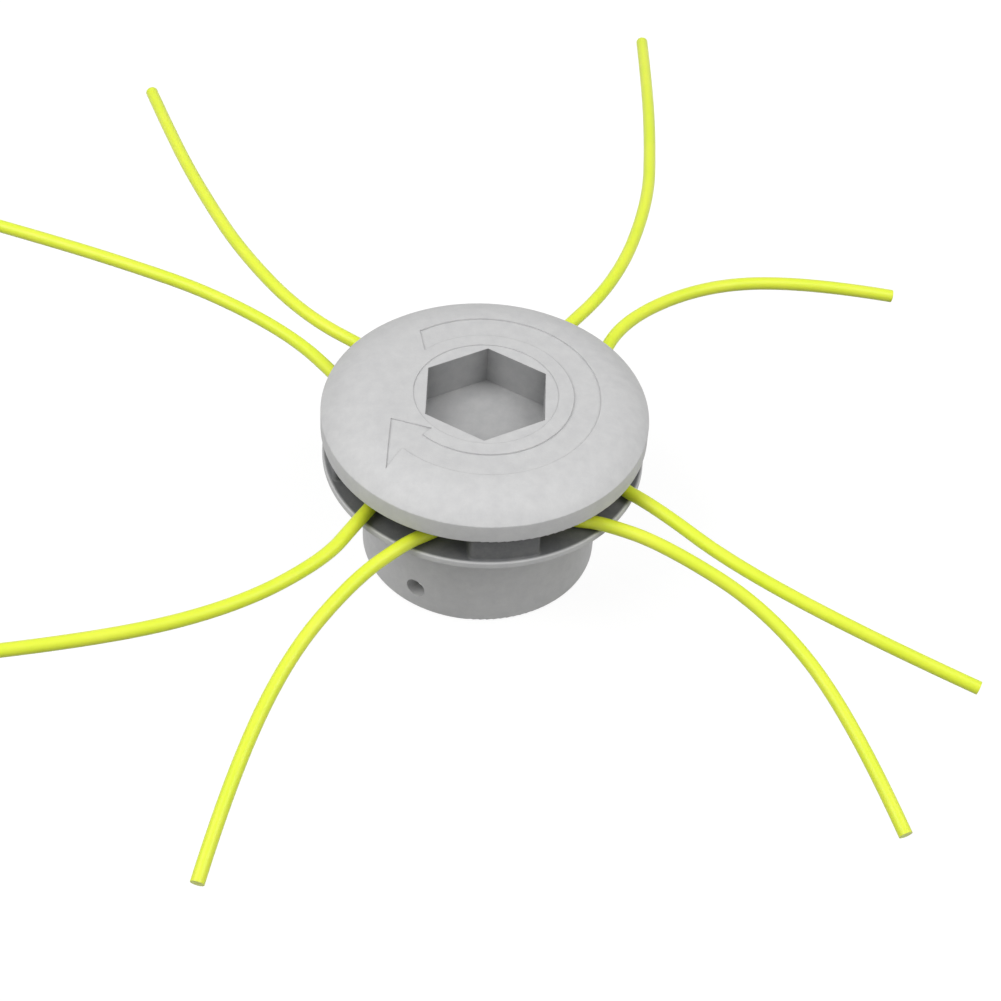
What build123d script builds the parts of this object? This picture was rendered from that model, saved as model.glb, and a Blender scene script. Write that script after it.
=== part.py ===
from build123d import *
import os
from math import hypot, pi, radians, tan

# Fixed line trimmer head: one aluminium die casting and four lengths of nylon line.
# Millimetres, +Z up. The head stands on the end of its skirt, and the origin is the
# centre of that end. Angles are degrees from +X towards +Y.

# Skirt: the round shell that stands on the surface and hides the gearbox shaft
skirt_radius = 28.6
skirt_height = 28.3
skirt_wall = 3.4
draft = 0.6                  # taper of every drawn wall, degrees

# Lower flange: the floor of the line slot
flange_setback = 0.4         # the lip's rim lies this far inside the cap's
lip_thickness = 1.9
floor_thickness = 4.4

# Line slot between the flange and the cap
slot_height = 7.15
hub_wall = 4.0

# Cap, with its low crown and round shoulder
cap_radius = 39.0
cap_side_height = 5.05
shoulder_rise = 5.3          # rim edge up to where the crown begins
shoulder_width = 12.0
crown_rise = 0.6
edge_round = 0.4             # rounding of the rim and of the lip, so that lines don't chafe

# Hexagonal pocket for the spanner key
hex_across_flats = 28.0
hex_depth = 10.75            # from the top of the crown
hex_turn = 31.3
hex_floor_thickness = 4.0
hex_relief_radius = 17.2     # shallow round recess that the hexagon opens into
hex_relief_depth = 0.5

# Pillars that tie the cap to the flange and hold the bent lines
pillar_count = 4
pillar_turn = 10.9
pillar_width = 16.4
pillar_setback = 1.1         # from the lip's rim in to the pillars
pillar_depth = 10.9
pillar_bend_radius = 28.0    # curve of the face that a line bends round
pillar_corner = 1.2
pillar_root = 0.5            # cast fillet where a pillar meets the flange and the cap

# Threaded boss for the M10 x 1.25 left-hand shaft end, and the ribs that carry it
boss_radius = 11.5
boss_recess = 5.0
thread_core_diameter = 8.75
thread_depth = 24.0
thread_lead_in = 1.0
rib_thickness = 3.0
rib_recess = 8.0

# Cross hole in the skirt for the pin that locks the shaft
cross_hole_diameter = 5.0
cross_hole_height = 6.2
cross_hole_turn = 241.0

# Nylon line
line_diameter = 3.3
line_clearance = 0.35
line_half_seat = 12.5        # half of the straight run behind a pillar
line_channel = 4.1           # from the hub to the middle of a pillar's bent face

# Heights and radii that follow from the sizes above
flange_radius = cap_radius - flange_setback
pillar_outer_radius = flange_radius - pillar_setback
pillar_inner_radius = pillar_outer_radius - pillar_depth
hub_radius = pillar_inner_radius - line_channel
slot_floor = skirt_height + lip_thickness
slot_roof = slot_floor + slot_height
rim_edge = slot_roof + cap_side_height
crown_edge = rim_edge + shoulder_rise
crown_top = crown_edge + crown_rise
crown_radius = cap_radius - shoulder_width
cavity_roof = slot_floor - floor_thickness
hex_floor = crown_top - hex_depth
core_roof = hex_floor - hex_floor_thickness
lean = tan(radians(draft))
pillar_turns = [pillar_turn + 360 / pillar_count * i for i in range(pillar_count)]


def turned(profile):
    """Solid of revolution about the head's axis from a closed profile in radius and height."""
    return revolve(make_face(Plane.XZ * profile), Axis.Z, 360)


def blank():
    """Cap, hub, flange and skirt as one turned form, with its chafing edges rounded."""
    crown = TangentArc((0, crown_top), (crown_radius, crown_edge), tangent=(1, 0))
    shoulder = TangentArc(crown @ 1, (cap_radius, rim_edge), tangent=crown % 1)
    skirt_top_radius = skirt_radius + skirt_height * lean
    walls = Polyline(
        (cap_radius, rim_edge),
        (cap_radius, slot_roof),
        (hub_radius, slot_roof),
        (hub_radius, slot_floor),
        (flange_radius, slot_floor),
        (flange_radius, skirt_height),
        (skirt_top_radius, skirt_height),
        (skirt_radius, 0),
        (0, 0),
        (0, crown_top),
    )
    form = turned(crown + shoulder + walls)
    rims = [
        edge
        for edge in form.edges().filter_by(GeomType.CIRCLE)
        if edge.radius > skirt_top_radius + edge_round or edge.center().Z < edge_round
    ]
    return fillet(rims, edge_round)


def pillar_plan():
    """One pillar seen from above, lying on +X, with its bent face towards the axis."""
    face_centre = pillar_inner_radius + pillar_bend_radius
    plan = Circle(pillar_outer_radius) & Pos(face_centre, 0) * Circle(pillar_bend_radius)
    plan = plan & Rectangle(4 * pillar_outer_radius, pillar_width)
    return fillet(plan.vertices(), pillar_corner)


def pillars():
    """The pillars, let into the flange and the cap a little so that they fuse."""
    bite = lip_thickness / 2
    post = extrude(pillar_plan(), slot_height + 2 * bite)
    return [Pos(0, 0, slot_floor - bite) * Rot(0, 0, turn) * post for turn in pillar_turns]


def cavity():
    """The space under the slot's floor: a bowl, a core under the hub, less boss and ribs."""
    mouth_radius = skirt_radius - skirt_wall
    roof_radius = mouth_radius - cavity_roof * lean
    core_radius = hub_radius - hub_wall
    bowl = Polyline(
        (0, 0),
        (mouth_radius, 0),
        (roof_radius, cavity_roof),
        (core_radius, cavity_roof),
        (core_radius - (core_roof - cavity_roof) * lean, core_roof),
        (0, core_roof),
        (0, 0),
    )
    boss_root_radius = boss_radius + (core_roof - boss_recess) * lean
    boss = Polyline(
        (0, boss_recess),
        (boss_radius, boss_recess),
        (boss_root_radius, core_roof),
        (0, core_roof),
        (0, boss_recess),
    )
    rib_height = core_roof - rib_recess
    ribs = [
        Rot(0, 0, turn)
        * Pos(skirt_radius / 2, 0, rib_recess + rib_height / 2)
        * Box(skirt_radius, rib_thickness, rib_height)
        for turn in pillar_turns
    ]
    return turned(bowl) - turned(boss) - ribs


def hex_pocket():
    """The six-sided pocket, open at the crown."""
    plan = RegularPolygon(hex_across_flats / 2, 6, major_radius=False, rotation=hex_turn)
    relief = Pos(0, 0, crown_top) * Cylinder(hex_relief_radius, 2 * hex_relief_depth)
    return Pos(0, 0, hex_floor) * extrude(plan, 2 * hex_depth) + relief


def thread_core():
    """The bore at the thread's core size, with a lead-in at its mouth."""
    core_radius = thread_core_diameter / 2
    mouth_radius = core_radius + thread_lead_in
    return turned(
        Polyline(
            (0, boss_recess),
            (mouth_radius, boss_recess),
            (core_radius, boss_recess + thread_lead_in),
            (core_radius, boss_recess + thread_depth),
            (0, boss_recess + thread_depth),
            (0, boss_recess),
        )
    )


def cross_hole():
    """The drilled hole through one side of the skirt."""
    start = Pos(skirt_radius, 0, cross_hole_height) * Rot(0, 90, 0)
    return Rot(0, 0, cross_hole_turn) * start * Cylinder(cross_hole_diameter / 2, 4 * skirt_wall)


def rounded_roots(casting):
    """The casting with a fillet round both ends of every pillar."""
    roots = [
        edge
        for edge in casting.edges()
        if min(abs(edge.center().Z - slot_floor), abs(edge.center().Z - slot_roof)) < 0.01
        and hub_radius + 1 < hypot(edge.center().X, edge.center().Y) < pillar_outer_radius + 1
    ]
    return fillet(roots, pillar_root)


def head_body():
    """The whole casting."""
    casting = rounded_roots(blank() - cavity() + pillars())
    return casting - hex_pocket() - thread_core() - cross_hole()


# Each line lies behind one pillar and leaves by the gates on both sides of it. Its free ends
# are routes chosen by hand: X and Y, and the height above the stretch behind the pillar.
line_ends = {
    "line_front": [
        [(-27.4, -48.4, 0), (-40.3, -67.2, -7), (-49.4, -97, -14), (-53.8, -119.1, -22)],
        [(43.7, -29.9, 0), (68.2, -41.7, -7.5), (87.3, -65, -15.5), (99.6, -90.9, -25)],
    ],
    "line_left": [
        [
            (-49, 33.3, 0), (-71.9, 48.3, -0.2), (-94.5, 57.6, -0.4),
            (-115.3, 65.3, -0.7), (-134.4, 71.7, -1),
        ],
        [(-34.1, -42.6, 0), (-52.2, -59.1, 0.3), (-79.7, -71.7, 0.6), (-107.4, -78.9, 1)],
    ],
    "line_back": [
        [
            (31.3, 63.5, 0), (39.4, 100.5, -2.5), (39.8, 130.6, -4.5),
            (39.1, 158.4, -7), (37.6, 186.2, -10),
        ],
        [
            (-48, 42.2, 0), (-66.3, 66.7, -1.2), (-79.2, 90.6, -2.3),
            (-89.8, 113.1, -3.5), (-100.1, 138.4, -5),
        ],
    ],
    "line_right": [
        [(41.9, -18.7, 0), (60, -31.1, -4.5), (91.8, -46.7, -9.5), (117.2, -54.9, -15)],
        [(33.3, 49, 0), (55.8, 68.6, -3), (83, 74.7, -5.5), (104.3, 75.8, -9)],
    ],
}
line_turns = {
    "line_right": pillar_turns[0],
    "line_back": pillar_turns[1],
    "line_left": pillar_turns[2],
    "line_front": pillar_turns[3],
}


def line_route(name):
    """Corner points of one line from tip to tip, behind its pillar in the middle."""
    seat_radius = pillar_inner_radius - line_diameter / 2 - line_clearance
    seat_height = slot_floor + line_diameter / 2 + line_clearance
    start_end, far_end = line_ends[name]
    seat = [
        Vector(seat_radius, side * line_half_seat, seat_height).rotate(Axis.Z, line_turns[name])
        for side in (-1, 1)
    ]
    first = [Vector(x, y, seat_height + z) for x, y, z in reversed(start_end)]
    last = [Vector(x, y, seat_height + z) for x, y, z in far_end]
    return first + seat + last


def bend_radii(route):
    """As large a bend at each corner as its two runs allow."""
    radii = []
    for before, corner, after in zip(route, route[1:], route[2:]):
        turn = (corner - before).get_angle(after - corner)
        shorter = min((corner - before).length, (after - corner).length)
        radii.append(0.45 * shorter / tan(radians(turn / 2)))
    return radii


def line_tube(name):
    """One line as a plain tube along straight runs joined by tangent arcs."""
    route = line_route(name)
    radii = bend_radii(route)
    path = FilletPolyline(*route, radius=radii)
    section = Plane(origin=path @ 0, z_dir=path % 0) * Circle(line_diameter / 2)
    tube = sweep(section, path=path)
    swept = pi * (line_diameter / 2) ** 2 * path.length
    print(name, "bends", [round(r) for r in radii], "length", round(path.length, 1))
    print(name, "volume", round(tube.volume, 1), "against", round(swept, 1))
    return tube


os.makedirs("parts", exist_ok=True)
export_step(head_body(), "parts/head_body.step")
for line_name in line_ends:
    export_step(line_tube(line_name), f"parts/{line_name}.step")
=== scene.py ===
from math import cos, hypot, pi, radians, sin, sqrt

import bmesh
import bpy
from mathutils import Euler, Matrix, Vector


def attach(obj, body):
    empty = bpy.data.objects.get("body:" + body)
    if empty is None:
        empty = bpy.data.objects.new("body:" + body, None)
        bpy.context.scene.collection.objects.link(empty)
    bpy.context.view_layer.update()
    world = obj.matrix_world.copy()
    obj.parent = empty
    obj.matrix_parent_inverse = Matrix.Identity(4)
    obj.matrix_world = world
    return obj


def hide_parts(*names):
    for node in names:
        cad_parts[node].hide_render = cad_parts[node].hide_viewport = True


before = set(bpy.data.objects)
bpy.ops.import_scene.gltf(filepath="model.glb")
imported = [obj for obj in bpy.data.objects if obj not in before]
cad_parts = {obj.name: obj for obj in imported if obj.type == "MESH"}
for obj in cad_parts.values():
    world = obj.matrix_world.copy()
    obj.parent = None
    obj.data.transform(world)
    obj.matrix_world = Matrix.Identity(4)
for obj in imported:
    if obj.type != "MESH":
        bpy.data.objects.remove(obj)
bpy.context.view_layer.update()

# Viewpoint
# The head is seen from in front and above through a long lens, which is held a few
# degrees askew. Places and sizes are in metres from the middle of the skirt's end.
camera_data = bpy.data.cameras.new("camera")
camera_data.lens = 91.05
camera_data.sensor_width = 36
camera = bpy.data.objects.new("camera", camera_data)
camera.location = (0.00507, -0.44156, 0.44973)
looking_down = Euler((radians(90 - 44.7), 0, 0)).to_matrix()
camera.rotation_euler = (looking_down @ Matrix.Rotation(radians(3.858), 3, "Z")).to_euler()
bpy.context.scene.collection.objects.link(camera)
bpy.context.scene.camera = camera


# Casting
# The cap, the hub, the four pillars, the flange and the skirt are one aluminium die
# casting. Blasting leaves its outside a soft and finely grained pale grey. The slot, the
# hexagon and the cavity get painted shade, a darker grey laid into the colour.
def node_group(material):
    """The nodes and links of a new material, with its shader."""
    material.use_nodes = True
    nodes = material.node_tree.nodes
    return nodes, material.node_tree.links, nodes["Principled BSDF"]


def grain(nodes, links, scale, detail=4.0, roughness=0.55, stretch=(1, 1, 1)):
    """Noise over the piece itself, with scale in bumps per metre."""
    place = nodes.new("ShaderNodeTexCoord")
    mapping = nodes.new("ShaderNodeMapping")
    mapping.inputs["Scale"].default_value = stretch
    noise = nodes.new("ShaderNodeTexNoise")
    noise.inputs["Scale"].default_value = scale
    noise.inputs["Detail"].default_value = detail
    noise.inputs["Roughness"].default_value = roughness
    links.new(place.outputs["Object"], mapping.inputs["Vector"])
    links.new(mapping.outputs["Vector"], noise.inputs["Vector"])
    return noise.outputs["Fac"]


def ramp(nodes, links, fac, stops):
    """A colour or grey ramp through (place, colour) stops."""
    node = nodes.new("ShaderNodeValToRGB")
    bands = node.color_ramp.elements
    while len(bands) < len(stops):
        bands.new(0.5)
    for band, (place, colour) in zip(bands, stops):
        band.position = place
        band.color = (*colour, 1)
    links.new(fac, node.inputs["Fac"])
    return node.outputs["Color"]


def bumps(nodes, links, height, depth, strength=1.0, below=None):
    """Surface relief of a real depth in metres, laid over another relief if given."""
    node = nodes.new("ShaderNodeBump")
    node.inputs["Strength"].default_value = strength
    node.inputs["Distance"].default_value = depth
    links.new(height, node.inputs["Height"])
    if below is not None:
        links.new(below, node.inputs["Normal"])
    return node.outputs["Normal"]


def band(nodes, links, value, low, high, blend=0.00008):
    """One where the value lies between two limits in metres, and nought elsewhere."""
    inside = nodes.new("ShaderNodeMath")
    inside.operation = "MULTIPLY"
    for k, limit in enumerate((low, high)):
        edge = nodes.new("ShaderNodeMapRange")
        edge.interpolation_type = "SMOOTHSTEP"
        edge.inputs["From Min"].default_value = limit - blend
        edge.inputs["From Max"].default_value = limit + blend
        edge.inputs["To Min"].default_value = k
        edge.inputs["To Max"].default_value = 1 - k
        links.new(value, edge.inputs["Value"])
        links.new(edge.outputs["Result"], inside.inputs[k])
    return inside.outputs[0]


def painted_shade_mask(nodes, links):
    """How much painted shade a place gets, from nought to one."""
    place = nodes.new("ShaderNodeTexCoord")
    split = nodes.new("ShaderNodeSeparateXYZ")
    links.new(place.outputs["Object"], split.inputs[0])
    flat = nodes.new("ShaderNodeVectorMath")
    flat.operation = "MULTIPLY"
    flat.inputs[1].default_value = (1, 1, 0)
    links.new(place.outputs["Object"], flat.inputs[0])
    reach = nodes.new("ShaderNodeVectorMath")
    reach.operation = "LENGTH"
    links.new(flat.outputs[0], reach.inputs[0])
    # Painted shade: the slot, the hexagon with its floor, floor edge and corners, and the
    # cavity under the hub get a darker grey, darkest in the slot.
    shaded_places = (
        # share of painted shade, lowest and highest, innermost and outermost, softness of the
        # radii
        (1.0, (0.03005, 0.03744), (0.0205, 0.0381), 0.0004),  # line slot
        (0.43, (0.0379, 0.04772), (-0.01, 0.0165), 0.0001),  # hexagon
        (0.28, (0.03744, 0.0379), (-0.01, 0.0165), 0.0001),  # its floor
        (0.25, (0.03744, 0.0379), (0.0125, 0.0185), 0.005),  # the floor's edge
        (0.35, (0.03744, 0.04772), (0.0152, 0.0185), 0.0018),  # its corners
        (0.25, (0.0006, 0.0345), (-0.01, 0.0253), 0.0001),  # cavity under the hub
    )
    total = None
    for share, (low, high), (inner, outer), blend in shaded_places:
        height = band(nodes, links, split.outputs["Z"], low, high)
        width = band(nodes, links, reach.outputs["Value"], inner, outer, blend)
        part = nodes.new("ShaderNodeMath")
        part.operation = "MULTIPLY"
        links.new(height, part.inputs[0])
        links.new(width, part.inputs[1])
        region = nodes.new("ShaderNodeMath")
        region.operation = "MULTIPLY_ADD"
        region.inputs[1].default_value = share
        region.inputs[2].default_value = 0
        links.new(part.outputs[0], region.inputs[0])
        if total is not None:
            links.new(total, region.inputs[2])
        total = region.outputs[0]
    return total


def blasted_aluminium():
    """Cast aluminium, blasted pale and satin outside, with painted shade in its hollows."""
    material = bpy.data.materials.new("cast_aluminium")
    nodes, links, shader = node_group(material)
    cloud = grain(nodes, links, 320, detail=6, roughness=0.65)
    pale = ramp(nodes, links, cloud, [(0.3, (0.56, 0.56, 0.565)), (0.7, (0.62, 0.62, 0.62))])
    # A darker grey that serves as painted shade.
    painted_shade_grey = ramp(nodes, links, cloud, [(0.3, (0.12, 0.125, 0.13)), (0.7, (0.17, 0.17, 0.17))])
    # The mix lays the painted shade over the pale metal in the slot, the hexagon and the
    # cavity.
    skin = nodes.new("ShaderNodeMix")
    skin.data_type = "RGBA"
    links.new(painted_shade_mask(nodes, links), skin.inputs["Factor"])
    links.new(pale, skin.inputs["A"])
    links.new(painted_shade_grey, skin.inputs["B"])
    links.new(skin.outputs["Result"], shader.inputs["Base Color"])
    fine = grain(nodes, links, 2600, detail=3)
    matt = ramp(nodes, links, fine, [(0.3, (0.62,) * 3), (0.7, (0.76,) * 3)])
    links.new(matt, shader.inputs["Roughness"])
    worn = nodes.new("ShaderNodeBevel")
    worn.samples = 4
    worn.inputs["Radius"].default_value = 0.00025
    relief = bumps(nodes, links, fine, 0.00004, 0.6, worn.outputs["Normal"])
    relief = bumps(nodes, links, grain(nodes, links, 420, detail=4), 0.00006, 0.5, relief)
    links.new(relief, shader.inputs["Normal"])
    shader.inputs["Metallic"].default_value = 0.2
    return material


def machined_aluminium():
    """The same metal where a tool has cut it: brighter, with fine rings from the tap."""
    material = bpy.data.materials.new("machined_aluminium")
    nodes, links, shader = node_group(material)
    rings = grain(nodes, links, 900, detail=3, stretch=(0.05, 0.05, 8))
    colour = ramp(nodes, links, rings, [(0.35, (0.70, 0.70, 0.71)), (0.7, (0.82, 0.82, 0.83))])
    links.new(colour, shader.inputs["Base Color"])
    matt = ramp(nodes, links, rings, [(0.3, (0.22,) * 3), (0.7, (0.36,) * 3)])
    links.new(matt, shader.inputs["Roughness"])
    links.new(bumps(nodes, links, rings, 0.00002, 0.6), shader.inputs["Normal"])
    shader.inputs["Metallic"].default_value = 0.95
    return material


def welded(mesh):
    """The mesh with its seams closed and no stored normals, so that it can be cut."""
    form = bmesh.new()
    form.from_mesh(mesh)
    bmesh.ops.remove_doubles(form, verts=form.verts, dist=1e-6)
    form.to_mesh(mesh)
    form.free()
    stored_normals = mesh.attributes.get("custom_normal")
    if stored_normals is not None:
        mesh.attributes.remove(stored_normals)
    return mesh


def placed(name, data):
    """A new object in the scene with this mesh, curve or lamp."""
    piece = bpy.data.objects.new(name, data)
    bpy.context.scene.collection.objects.link(piece)
    return piece


def cut(piece, tool):
    """Cut the tool's shape out of the piece, and put the tool away."""
    step = piece.modifiers.new("cut", "BOOLEAN")
    step.operation = "DIFFERENCE"
    step.solver = "EXACT"
    step.object = tool
    bpy.context.view_layer.update()
    shown = piece.evaluated_get(bpy.context.evaluated_depsgraph_get())
    mesh = bpy.data.meshes.new_from_object(shown)
    piece.modifiers.clear()
    piece.data = mesh
    bpy.data.objects.remove(tool)


head = placed("trimmer_head", welded(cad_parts["head_body"].data.copy()))
head.data.materials.clear()
head.data.materials.append(blasted_aluminium())
head.data.materials.append(machined_aluminium())


# Arrow of turn
# A curved arrow, 0.4 mm deep, is cast into the crown round the hexagon. It shows which
# way the head spins, and it is plain, with no letters. Seen from above it runs clockwise.
def on_crown(radius, azimuth):
    """A point on the crown's plan from its radius in millimetres and its azimuth."""
    return (radius * cos(radians(azimuth)) / 1000, radius * sin(radians(azimuth)) / 1000)


arrow_inner, arrow_outer = 20.8, 27.2
arrow_depth = 0.0004
below_crown, above_crown = 0.0405, 0.055
arrow_plan = [on_crown(arrow_inner, azimuth) for azimuth in range(138, -133, -3)]
arrow_plan += [on_crown(17.8, -132), on_crown(24.1, -154), on_crown(33.6, -130)]
arrow_plan += [on_crown(arrow_outer, azimuth) for azimuth in range(-132, 130, 3)]
prism = bmesh.new()
foot = [prism.verts.new((x, y, below_crown)) for x, y in arrow_plan]
crest = [prism.verts.new((x, y, above_crown)) for x, y in arrow_plan]
prism.faces.new(foot)
prism.faces.new(crest)
for k in range(len(arrow_plan)):
    following = (k + 1) % len(arrow_plan)
    prism.faces.new((foot[k], foot[following], crest[following], crest[k]))
bmesh.ops.recalc_face_normals(prism, faces=prism.faces)
arrow_mesh = bpy.data.meshes.new("arrow")
prism.to_mesh(arrow_mesh)
prism.free()
arrow = placed("arrow", arrow_mesh)
lowered = placed("lowered_head", head.data.copy())
lowered.location = (0, 0, -arrow_depth)
cut(arrow, lowered)
cut(head, arrow)


# Thread
# The boss under the hub is drilled and tapped M10 x 1.25, left-hand, so that the spinning
# shaft keeps the head tight. The groove runs out at both ends, as a tap leaves it.
pitch = 0.00125
thread_start = 0.0050
inside_core = 0.0042
groove_reach = 0.0008
half_mouth, half_crest = 0.00052, 0.00008
steps_per_turn = 24
groove_steps = 16 * steps_per_turn
groove = bmesh.new()
sections = []
for k in range(groove_steps + 1):
    azimuth = -2 * pi * k / steps_per_turn
    height = thread_start + pitch * k / steps_per_turn
    run_out = min(1, k / steps_per_turn, (groove_steps - k) / steps_per_turn)
    crest_radius = inside_core + groove_reach * run_out
    section = []
    for radius, rise in ((inside_core, -half_mouth), (crest_radius, -half_crest),
                         (crest_radius, half_crest), (inside_core, half_mouth)):
        corner = (radius * cos(azimuth), radius * sin(azimuth), height + rise)
        section.append(groove.verts.new(corner))
    sections.append(section)
for near, far in zip(sections, sections[1:]):
    for k in range(4):
        groove.faces.new((near[k], near[(k + 1) % 4], far[(k + 1) % 4], far[k]))
groove.faces.new(sections[0])
groove.faces.new(sections[-1])
bmesh.ops.recalc_face_normals(groove, faces=groove.faces)
groove_mesh = bpy.data.meshes.new("tap_groove")
groove.to_mesh(groove_mesh)
groove.free()
cut(head, placed("tap_groove", groove_mesh))


crown_radius, crown_bend = 0.027, 0.6078
shoulder_centre, shoulder_bend = 0.0262, 0.01807


def turned_normal(place):
    """Which way the turned crown and shoulder face at a place on them."""
    reach = hypot(place.x, place.y)
    centre, bend = (0, crown_bend) if reach < crown_radius else (shoulder_centre, shoulder_bend)
    out = reach - centre
    along = Vector((place.x, place.y, 0)).normalized()
    return along * (out / bend) + Vector((0, 0, sqrt(max(0, bend**2 - out**2)) / bend))


thread_reach, thread_top = 0.0052, 0.0292
boss_reach, boss_end = 0.0116, 0.00505
for face in head.data.polygons:
    face.use_smooth = True
    reach = hypot(face.center.x, face.center.y)
    tapped = reach < thread_reach and face.center.z < thread_top
    faced = reach < boss_reach and face.center.z < boss_end
    face.material_index = int(tapped or faced)
head.data.set_sharp_from_angle(angle=radians(24))
rim_edge, recess_radius = 0.0422, 0.0172
nearly_parallel = 0.985
facing = [(0, 0, 0)] * len(head.data.loops)
for face in head.data.polygons:
    reach = hypot(face.center.x, face.center.y)
    on_top = face.center.z > rim_edge and reach > recess_radius
    if on_top and turned_normal(face.center).dot(face.normal) > nearly_parallel:
        for corner in face.loop_indices:
            place = head.data.vertices[head.data.loops[corner].vertex_index].co
            facing[corner] = turned_normal(place)
head.data.normals_split_custom_set(facing)
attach(head, "root")
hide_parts("head_body")


# Nylon lines
# Four cut lengths of 3.3 mm round trimmer line, extruded from bright yellow-green nylon.
# Each lies behind one pillar, swings outwards inside the slot, and stands out of it under
# its own stiffness. A half is drawn from the middle, behind the pillar, to its cut tip.
def nylon():
    """Bright yellow-green nylon: a little see-through, with a soft extruded skin."""
    material = bpy.data.materials.new("nylon_line")
    nodes, links, shader = node_group(material)
    tint = grain(nodes, links, 90)
    colour = ramp(nodes, links, tint, [(0.3, (0.80, 0.96, 0.035)), (0.7, (0.87, 0.98, 0.06))])
    links.new(colour, shader.inputs["Base Color"])
    skin = grain(nodes, links, 1500, detail=3)
    matt = ramp(nodes, links, skin, [(0.3, (0.34,) * 3), (0.75, (0.48,) * 3)])
    links.new(matt, shader.inputs["Roughness"])
    relief = bumps(nodes, links, skin, 0.00004, 0.5)
    links.new(relief, shader.inputs["Normal"])
    shader.inputs["Subsurface Weight"].default_value = 0.3
    shader.inputs["Subsurface Radius"].default_value = (0.0012, 0.0014, 0.0003)
    shader.inputs["Subsurface Scale"].default_value = 1.0
    shader.inputs["IOR"].default_value = 1.5
    return material


line_diameter = 0.0033
seat_radius, seat_height = 0.0246, 0.0322
straight_behind = 0.008


def half_line(name, node, pillar_turn, side, swing, free_end, finish):
    """One half of a line, from behind its pillar round the corner and out to its tip."""
    turn = Matrix.Rotation(radians(pillar_turn), 3, "Z")
    behind = [
        (seat_radius, 0),
        (seat_radius, side * straight_behind),
        (swing[0], side * swing[1]),
    ]
    route = [turn @ Vector((out, along, seat_height)) for out, along in behind]
    route += map(Vector, free_end)
    curve = bpy.data.curves.new(name, "CURVE")
    curve.dimensions = "3D"
    curve.bevel_depth = line_diameter / 2
    curve.bevel_resolution = 5
    curve.resolution_u = 16
    curve.use_fill_caps = True
    spline = curve.splines.new("NURBS")
    spline.points.add(len(route) - 1)
    for point, place in zip(spline.points, route):
        point.co = (*place, 1)
    spline.order_u = 3
    spline.use_endpoint_u = True
    curve.materials.append(finish)
    piece = placed(name, curve)
    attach(piece, "root")
    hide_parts(node)
    return piece


half_lines = {
    # name: node, turn of the pillar and side of it, length, how far out and along the line
    # swings inside the slot, where it leaves the slot, and the points of its free end
    "front_line_left_half": (
        "line_front", 280.9, -1, 0.1203, (0.0292, 0.0163), (-0.016, -0.03579, 0.0322),
        [(-0.0161, -0.03555, 0.0322), (-0.0271, -0.0485, 0.0322), (-0.0403, -0.0672, 0.0252),
         (-0.0494, -0.097, 0.0182), (-0.0538, -0.1191, 0.0102)],
    ),
    "front_line_right_half": (
        "line_front", 280.9, 1, 0.1287, (0.0282, 0.017), (0.02889, -0.02542, 0.0322),
        [(0.02922, -0.02482, 0.0322), (0.0435, -0.0304, 0.0322), (0.0682, -0.0417, 0.0247),
         (0.0873, -0.065, 0.0167), (0.0996, -0.0909, 0.0072)],
    ),
    "left_line_back_half": (
        "line_left", 190.9, -1, 0.1399, (0.028, 0.0165), (-0.03475, 0.01703, 0.0322),
        [(-0.03475, 0.01703, 0.0322), (-0.049, 0.0333, 0.0322), (-0.0719, 0.0483, 0.032),
         (-0.0945, 0.0576, 0.0318), (-0.1153, 0.0653, 0.0315), (-0.1344, 0.0717, 0.0312)],
    ),
    "left_line_front_half": (
        "line_left", 190.9, 1, 0.1233, (0.0276, 0.0176), (-0.0272, -0.0282, 0.0322),
        [(-0.02783, -0.03, 0.0322), (-0.0341, -0.0426, 0.0322), (-0.0522, -0.0591, 0.0325),
         (-0.0797, -0.0717, 0.0328), (-0.1074, -0.0789, 0.0332)],
    ),
    "back_line_right_half": (
        "line_back", 100.9, -1, 0.1787, (0.0292, 0.0164), (0.01436, 0.03705, 0.0322),
        [(0.01436, 0.03705, 0.0322), (0.0313, 0.0635, 0.0322), (0.0394, 0.1005, 0.0297),
         (0.0398, 0.1306, 0.0277), (0.0391, 0.1584, 0.0252), (0.0376, 0.1862, 0.0222)],
    ),
    "back_line_left_half": (
        "line_back", 100.9, 1, 0.1583, (0.029, 0.0168), (-0.02737, 0.02865, 0.0322),
        [(-0.02737, 0.02865, 0.0322), (-0.048, 0.0422, 0.0322), (-0.0663, 0.0667, 0.031),
         (-0.0792, 0.0906, 0.0299), (-0.0898, 0.1131, 0.0287), (-0.1001, 0.1384, 0.0272)],
    ),
    "right_line_front_half": (
        "line_right", 10.9, -1, 0.1157, (0.0288, 0.0173), (0.03666, -0.01493, 0.0322),
        [(0.0419, -0.0187, 0.0322), (0.06, -0.0311, 0.0277), (0.0918, -0.0467, 0.0227),
         (0.1172, -0.0549, 0.0172)],
    ),
    "right_line_back_half": (
        "line_right", 10.9, 1, 0.1243, (0.028, 0.0165), (0.02601, 0.02869, 0.0322),
        [(0.02601, 0.02869, 0.0322), (0.0333, 0.049, 0.0322), (0.0558, 0.0686, 0.0292),
         (0.083, 0.0747, 0.0267), (0.1043, 0.0758, 0.0232)],
    ),
}
nylon_finish = nylon()
for name, (node, pillar_turn, side, length, swing, gate, free_end) in half_lines.items():
    half_line(name, node, pillar_turn, side, swing, free_end, nylon_finish)


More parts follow.
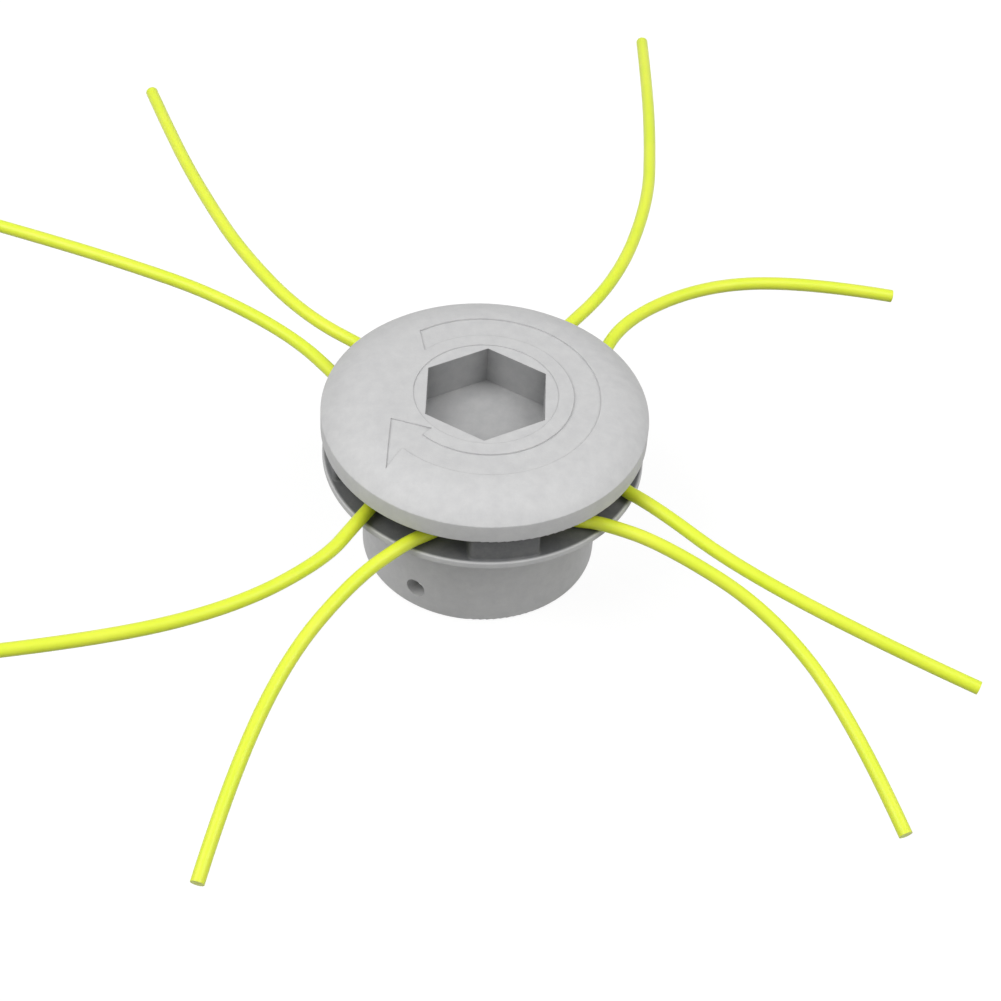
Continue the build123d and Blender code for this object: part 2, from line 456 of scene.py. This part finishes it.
# Studio
# A plain white floor in a white room, with two large soft lights high up, one on each
# side and a little in front. The room itself gives most light from above and in front.
def seen_directly(nodes, links, amount):
    """The given amount for rays from the lens, off gloss or through clear pieces, else none."""
    path = nodes.new("ShaderNodeLightPath")
    total = path.outputs["Is Camera Ray"]
    for ray in ("Is Glossy Ray", "Is Transmission Ray"):
        either = nodes.new("ShaderNodeMath")
        either.operation = "MAXIMUM"
        links.new(total, either.inputs[0])
        links.new(path.outputs[ray], either.inputs[1])
        total = either.outputs[0]
    scaled = nodes.new("ShaderNodeMath")
    scaled.operation = "MULTIPLY"
    scaled.inputs[1].default_value = amount
    links.new(total, scaled.inputs[0])
    return scaled.outputs[0]


def plain_floor(lift):
    """White floor: it takes the head's shadow, and reads as white where it is fully lit."""
    material = bpy.data.materials.new("floor_white")
    nodes, links, shader = node_group(material)
    shader.inputs["Base Color"].default_value = (0.18, 0.18, 0.18, 1)
    shader.inputs["Roughness"].default_value = 0.9
    shader.inputs["Specular IOR Level"].default_value = 0.2
    shader.inputs["Emission Color"].default_value = (1, 1, 1, 1)
    links.new(seen_directly(nodes, links, lift), shader.inputs["Emission Strength"])
    return material


bpy.ops.mesh.primitive_plane_add(size=8, location=(0, 0, -0.0002))
floor = bpy.context.object
floor.name = "floor"
floor.data.materials.append(plain_floor(0.87))

world = bpy.data.worlds.new("room")
bpy.context.scene.world = world
world.use_nodes = True
room_nodes = world.node_tree.nodes
room_links = world.node_tree.links
direction = room_nodes.new("ShaderNodeTexCoord")
above_and_front = room_nodes.new("ShaderNodeVectorMath")
above_and_front.operation = "DOT_PRODUCT"
above_and_front.inputs[1].default_value = (0, -0.45, 0.893)
room_links.new(direction.outputs["Generated"], above_and_front.inputs[0])
glow = room_nodes.new("ShaderNodeMapRange")
glow.inputs["From Min"].default_value = 0
glow.inputs["From Max"].default_value = 1
glow.inputs["To Min"].default_value = 0.12
glow.inputs["To Max"].default_value = 0.55
room_links.new(above_and_front.outputs["Value"], glow.inputs["Value"])
white_wall = seen_directly(room_nodes, room_links, 1)
brighter = room_nodes.new("ShaderNodeMath")
brighter.operation = "MAXIMUM"
room_links.new(white_wall, brighter.inputs[0])
room_links.new(glow.outputs["Result"], brighter.inputs[1])
room_nodes["Background"].inputs["Color"].default_value = (1, 1, 1, 1)
room_links.new(brighter.outputs[0], room_nodes["Background"].inputs["Strength"])


def softbox(name, place, size, power):
    """A square soft light that faces the head."""
    lamp = bpy.data.lights.new(name, "AREA")
    lamp.size = size
    lamp.energy = power
    stand = placed(name, lamp)
    stand.location = place
    aim = Vector((0, 0, 0.03)) - Vector(place)
    stand.rotation_euler = aim.to_track_quat("-Z", "Y").to_euler()


softbox("left_light", (-0.87, -0.3, 1.08), 1, 10.3)
softbox("right_light", (0.87, -0.25, 1.08), 1, 8)

bpy.context.scene.view_settings.view_transform = "Standard"
